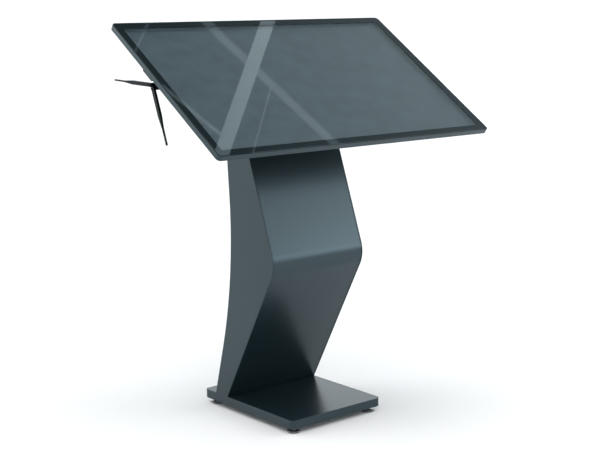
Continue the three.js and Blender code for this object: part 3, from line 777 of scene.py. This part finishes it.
def opening_ring(x, opening, grow):
    """An opening's four corners, grown outwards, at that x."""
    start, end, shallow, deep = opening
    start, end, shallow, deep = start - grow, end + grow, shallow - grow, deep + grow
    corners = ((start, shallow), (end, shallow), (end, deep), (start, deep))
    return [on_screen(x, slope, -depth) for slope, depth in corners]


def make_connectors():
    """A black block in a steel shell for each of the end plate's openings.

    Both are larger than the opening, which shows only the block's front.
    """
    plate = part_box("pc_end_plate")[0][0]
    mouth, outside_end, inside_end = plate + 0.0008, plate + 0.0100, plate + 0.0110
    inside, outside = 0.0004, 0.0009  # the shell's two sides, out from the opening's edge
    block_front, block_back = plate + 0.0016, plate + 0.0099
    past_ends, half_depth = 0.0024, 0.0053  # the block's size round the opening's middle
    verts, faces, indices = [], [], []

    def add_body(rings, body_faces, numbers):
        first = len(verts)
        verts.extend(v for ring in rings for v in ring)
        faces.extend([first + i for i in face] for face in body_faces)
        indices.extend(numbers)

    for opening in CONNECTOR_OPENINGS:
        shell = [
            opening_ring(inside_end, opening, inside),
            opening_ring(mouth, opening, inside),
            opening_ring(mouth, opening, outside),
            opening_ring(outside_end, opening, outside),
        ]
        bands = [band[::-1] for band in bands_between(4, 4)]
        add_body(shell, [*bands, (0, 1, 2, 3), (15, 14, 13, 12)], [0] * 13 + [1])
        start, end, shallow, deep = opening
        middle = (shallow + deep) / 2
        depths = (middle - half_depth, middle + half_depth)
        section = (start - past_ends, end + past_ends, *depths)
        block = [opening_ring(x, section, 0) for x in (block_back, block_front)]
        add_body(block, [(3, 2, 1, 0), (4, 5, 6, 7), *bands_between(2, 4)], [1] * 6)
    piece = new_piece("pc_connectors", verts, faces, [ZINC, PLASTIC], indices)
    fit(piece, "computer_module", "zinc_steel")


make_back_screws()
make_housing_screws()
make_hinge_screws("door_hinge_lower")
make_hinge_screws("door_hinge_upper")
make_inlet_screws()
make_connectors()

# ---- Stage and light ------------------------------------------------------------------

FLOOR_REACH = 300
FLOOR_TONES = [(0.3, (0.885, 0.89, 0.895)), (0.7, (0.90, 0.905, 0.91))]

# The surround's brightness by the height of the direction: 0 is level, 1 straight up.
SURROUND = [(0.0, 1.0), (0.22, 0.85), (0.42, 0.4), (0.62, 0.26), (0.68, 0.21), (0.78, 0.05)]
SURROUND_STRENGTH = 2.0
LOW_TINT, HIGH_TINT = (0.93, 0.98, 1.0), (0.84, 0.95, 1.0)
HIGH_FROM = 0.5

# All of it is left behind the kiosk, and only this share on the camera's side. The share
# rises between two values of the direction's part along BEHIND.
BEHIND = (0.6, 0.8, 0)
FRONT_SHARE = 0.12
SHARE_START, SHARE_END = -0.5, 0.45

# Near the level it is whole on every side, in a band that fades out between two heights.
FADE_START, FADE_END = 0.06, 0.14

# Light strips on the ceiling: two ends, width and radiance.
CEILING = 3.0
STRIP_TINT = (0.8, 0.97, 1)
STRIPS = [
    ((1.72, 1.04), (1.13, 0.25), 0.075, 1.1),
    ((1.20, 1.02), (1.90, 0.24), 0.048, 0.52),
    ((1.56, 0.61), (1.34, 0.28), 0.008, 0.6),
    ((0.93, 0.64), (1.24, 0.34), 0.018, 0.8),
    ((0.96, 0.96), (0.83, 0.80), 0.010, 0.5),
]


def make_stage():
    ends = ((-1, -1), (1, -1), (1, 1), (-1, 1))
    corners = [Vector((x * FLOOR_REACH, y * FLOOR_REACH, 0)) for x, y in ends]
    m = Surface("pale_floor")
    m.set(
        Base_Color=m.colours(m.noise(0.7), FLOOR_TONES),
        Roughness=0.9,
        Specular_IOR_Level=0.1,
    )
    floor = new_piece("floor", corners, [[0, 1, 2, 3]], [m.material])


def make_world():
    """A soft white surround, bright low down behind the kiosk and dim overhead."""
    scene.world = bpy.data.worlds.new("studio")
    w = Nodes(scene.world, "Generated")
    height = w.add("ShaderNodeSeparateXYZ", {0: w.place}).outputs["Z"]
    stops = [
        (at, shade(HIGH_TINT if at > HIGH_FROM else LOW_TINT, level)) for at, level in SURROUND
    ]
    dot = w.add("ShaderNodeVectorMath", {0: w.place, 1: BEHIND}, operation="DOT_PRODUCT")
    share = w.spread(dot.outputs["Value"], FRONT_SHARE, 1.0, SHARE_START, SHARE_END)
    level_band = w.spread(height, 1.0, 0.0, FADE_START, FADE_END)
    share = w.calculate("MAXIMUM", share, level_band)
    strength = w.calculate("MULTIPLY", share, SURROUND_STRENGTH)
    inputs = {"Color": w.colours(height, stops), "Strength": strength}
    background = w.add("ShaderNodeBackground", inputs)
    w.add("ShaderNodeOutputWorld", {"Surface": background.outputs[0]})


def lamp(name, kind, at, aim, energy, tint=(1, 1, 1)):
    data = bpy.data.lights.new(name, kind)
    data.energy = energy
    data.color = tint
    light = bpy.data.objects.new(name, data)
    scene.collection.objects.link(light)
    light.location = at
    light.rotation_euler = aim.to_track_quat("-Z", "Y").to_euler()
    light.visible_camera = False
    return light


def panel_lamp(name, at, aim, size, radiance, tint):
    """A rectangular light of that width and height in metres."""
    energy = radiance * math.pi * size[0] * size[1]
    light = lamp(name, "AREA", at, aim, energy, tint)
    light.data.shape = "RECTANGLE"
    light.data.size, light.data.size_y = size
    return light


def make_soft_box():
    place, target = Vector((2.1, -2.35, 1.05)), Vector((0, -0.05, 0.5))
    panel_lamp("key", place, target - place, (1.3, 0.9), 1.9, (0.93, 0.98, 1))


def make_sun(name, towards, strength, degrees):
    """Light from far off, as wide in the sky as that."""
    light = lamp(name, "SUN", (0, 0, 5), -Vector(towards), strength)
    light.data.angle = math.radians(degrees)


def make_strip(i, a, b, width, radiance):
    run = Vector(b) - Vector(a)
    middle = ((a[0] + b[0]) / 2, (a[1] + b[1]) / 2, CEILING)
    size = (run.length, width)
    light = panel_lamp(f"strip_{i}", middle, Vector((0, 0, -1)), size, radiance, STRIP_TINT)
    light.rotation_euler = (0, 0, math.atan2(run.y, run.x))


def make_lights():
    make_soft_box()
    make_sun("overhead", (-0.2, -0.3, 0.93), 2.2, 70)
    make_sun("back_left", (-0.5, 0.6, 0.62), 1.2, 60)
    make_sun("right", (0.8, -0.45, 0.42), 1.0, 50)
    for i, strip in enumerate(STRIPS):
        make_strip(i, *strip)


make_stage()
make_world()
make_lights()
scene.view_settings.view_transform = "Standard"
